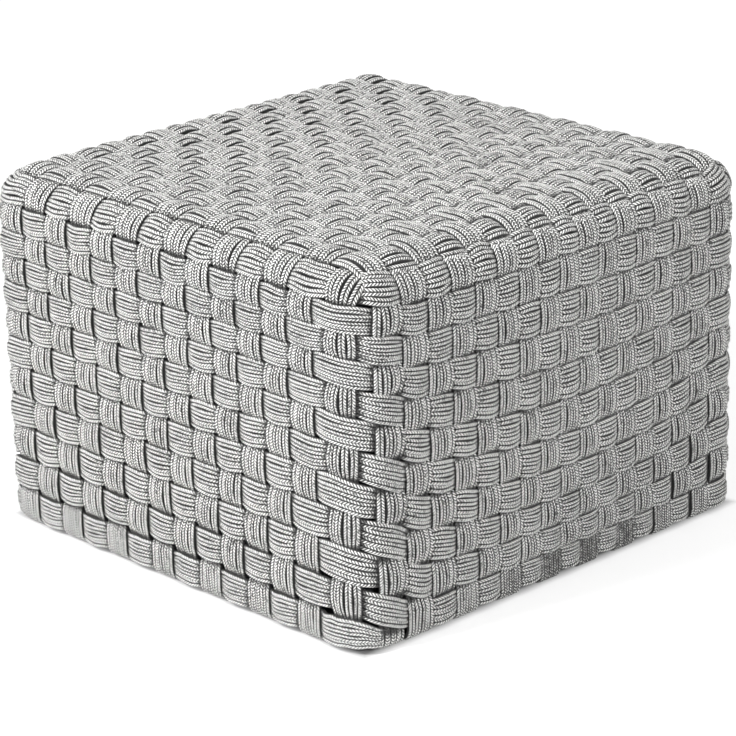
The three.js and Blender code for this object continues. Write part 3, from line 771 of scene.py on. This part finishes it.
def coat_material():
    """Anthracite powder coat: satin, with a fine orange peel and a little dust in its tone."""
    material, tree, shader = new_material("powder_coat_satin")
    dust = noise(tree, scale=24, detail=4)
    colour = ramp(tree, dust, [(0.3, (0.038, 0.041, 0.045)), (0.7, (0.062, 0.066, 0.07))])
    tree.links.new(colour, shader.inputs["Base Color"])
    tree.links.new(math_node(tree, "MULTIPLY_ADD", dust, 0.2, 0.32), shader.inputs["Roughness"])
    add_bump(tree, shader, noise(tree, scale=900, detail=2), strength=0.25, depth=0.05 * MM)
    shader.inputs["Metallic"].default_value = 0.2
    return material


def plastic_material():
    """Dark moulded plastic with a fine matt grain and scuffs."""
    material, tree, shader = new_material("glide_grain")
    scuff = noise(tree, scale=90, detail=5)
    colour = ramp(tree, scuff, [(0.35, (0.012, 0.012, 0.013)), (0.75, (0.035, 0.035, 0.037))])
    tree.links.new(colour, shader.inputs["Base Color"])
    tree.links.new(math_node(tree, "MULTIPLY_ADD", scuff, 0.3, 0.45), shader.inputs["Roughness"])
    add_bump(tree, shader, noise(tree, scale=1500, detail=2), strength=0.3, depth=0.06 * MM)
    return material


rope, coat, plastic = rope_material(), coat_material(), plastic_material()

# Pieces
COLUMN_PULL = 1.08


def add_band(name, cords, pull=1.0):
    piece = cord_mesh(name + "_cords", cords, pull)
    bpy.context.scene.collection.objects.link(piece)
    piece.data.materials.append(rope)
    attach(piece, "root")
    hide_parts(name)


for row in range(1, ring_rows + 1):
    add_band(f"ring_band_{row:02d}", ring_cords(row))
add_band(f"short_band_{left_rows:02d}", ring_cords(left_rows))
for k in range(side_count):
    add_band(f"side_to_side_band_{k + 1:02d}", warp_cords(k, True), COLUMN_PULL)
for k in range(cross_count):
    add_band(f"front_to_back_band_{k + 1:02d}", warp_cords(k, False), COLUMN_PULL)

# every other solid is part of the frame; the bands' names end in a number
for name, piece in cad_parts.items():
    if name[-1].isdigit():
        continue
    material = plastic if name.startswith("glide") else coat
    if not piece.material_slots:
        piece.data.materials.append(material)
    piece.material_slots[0].material = material


# Stage
def path_switch(tree, shown, hidden):
    """shown for camera, glossy and transmitted rays, hidden for the rest."""
    path = node(tree, "ShaderNodeLightPath")
    through = math_node(tree, "MAXIMUM", path.outputs["Is Glossy Ray"], path.outputs["Is Transmission Ray"])
    mix = node(tree, "ShaderNodeMixShader")
    tree.links.new(math_node(tree, "MAXIMUM", path.outputs["Is Camera Ray"], through), mix.inputs[0])
    tree.links.new(hidden, mix.inputs[1])
    tree.links.new(shown, mix.inputs[2])
    return mix.outputs[0]


def off_footprint(tree):
    """1 on the floor outside the object's footprint, 0 under it."""
    inset, edge_slope = 20 * MM, 60.0
    coordinates = node(tree, "ShaderNodeTexCoord")
    split = node(tree, "ShaderNodeSeparateXYZ")
    tree.links.new(coordinates.outputs["Object"], split.inputs[0])
    past = [math_node(tree, "SUBTRACT", math_node(tree, "ABSOLUTE", split.outputs[k]), size / 2 - inset)
            for k, size in enumerate((WIDTH, DEPTH))]
    return math_node(tree, "MULTIPLY", math_node(tree, "MAXIMUM", *past), edge_slope, clamp=True)


def build_floor():
    half, glow_strength = 6.0, 0.62
    mesh = bpy.data.meshes.new("floor")
    corners = [(-half, -half, 0), (half, -half, 0), (half, half, 0), (-half, half, 0)]
    mesh.from_pydata(corners, [], [(0, 1, 2, 3)])
    floor = bpy.data.objects.new("floor", mesh)
    bpy.context.scene.collection.objects.link(floor)
    material = bpy.data.materials.new("floor_white")
    material.use_nodes = True
    tree = material.node_tree
    tree.nodes.clear()
    out = node(tree, "ShaderNodeOutputMaterial")
    soft = node(tree, "ShaderNodeBsdfDiffuse")
    soft.inputs[0].default_value = (0.55, 0.55, 0.55, 1)
    glow = node(tree, "ShaderNodeEmission")
    tree.links.new(math_node(tree, "MULTIPLY", off_footprint(tree), glow_strength), glow.inputs[1])
    pale = node(tree, "ShaderNodeAddShader")
    tree.links.new(soft.outputs[0], pale.inputs[0])
    tree.links.new(glow.outputs[0], pale.inputs[1])
    plain = node(tree, "ShaderNodeBsdfDiffuse")
    plain.inputs[0].default_value = (0.7, 0.7, 0.7, 1)
    tree.links.new(path_switch(tree, pale.outputs[0], plain.outputs[0]), out.inputs["Surface"])
    mesh.materials.append(material)


def white_background(tree, strength):
    background = node(tree, "ShaderNodeBackground")
    background.inputs[0].default_value = (1, 1, 1, 1)
    background.inputs[1].default_value = strength
    return background.outputs[0]


def build_world():
    world = bpy.data.worlds.new("studio")
    bpy.context.scene.world = world
    world.use_nodes = True
    tree = world.node_tree
    tree.nodes.clear()
    out = node(tree, "ShaderNodeOutputWorld")
    seen, fill = white_background(tree, strength=1.0), white_background(tree, strength=0.59)
    switch = path_switch(tree, seen, fill)
    tree.links.new(switch, out.inputs["Surface"])


def add_lamp(name, location, size, power):
    """A round, soft lamp aimed at the middle of the object."""
    data = bpy.data.lights.new(name, "AREA")
    data.shape = "DISK"
    data.size = size
    data.energy = power
    lamp = bpy.data.objects.new(name, data)
    lamp.location = location
    aim = Vector((0, 0, 200 * MM)) - Vector(location)
    lamp.rotation_euler = aim.to_track_quat("-Z", "Y").to_euler()
    bpy.context.scene.collection.objects.link(lamp)


def add_camera():
    """The photograph's view, from the front-left and above, with a long lens."""
    data = bpy.data.cameras.new("camera")
    data.lens, data.sensor_width = 153.745, 36
    data.clip_start, data.clip_end = 0.05, 50
    camera = bpy.data.objects.new("camera", data)
    right = Vector((0.719478, -0.694117, -0.023526))
    up = Vector((0.249133, 0.226320, 0.941654))
    back = Vector((-0.648293, -0.683360, 0.335760))
    matrix = Matrix((right, up, back)).transposed().to_4x4()
    matrix.translation = Vector((-2.14715, -2.26225, 1.27003))
    camera.matrix_world = matrix
    bpy.context.scene.collection.objects.link(camera)
    bpy.context.scene.camera = camera


build_floor()
build_world()
add_lamp("key", (-2.5, 0.35, 2.3), size=0.6, power=91)
add_lamp("side", (-1.6, -3.0, 1.8), size=0.8, power=47)
add_camera()
bpy.context.scene.view_settings.view_transform = "Standard"
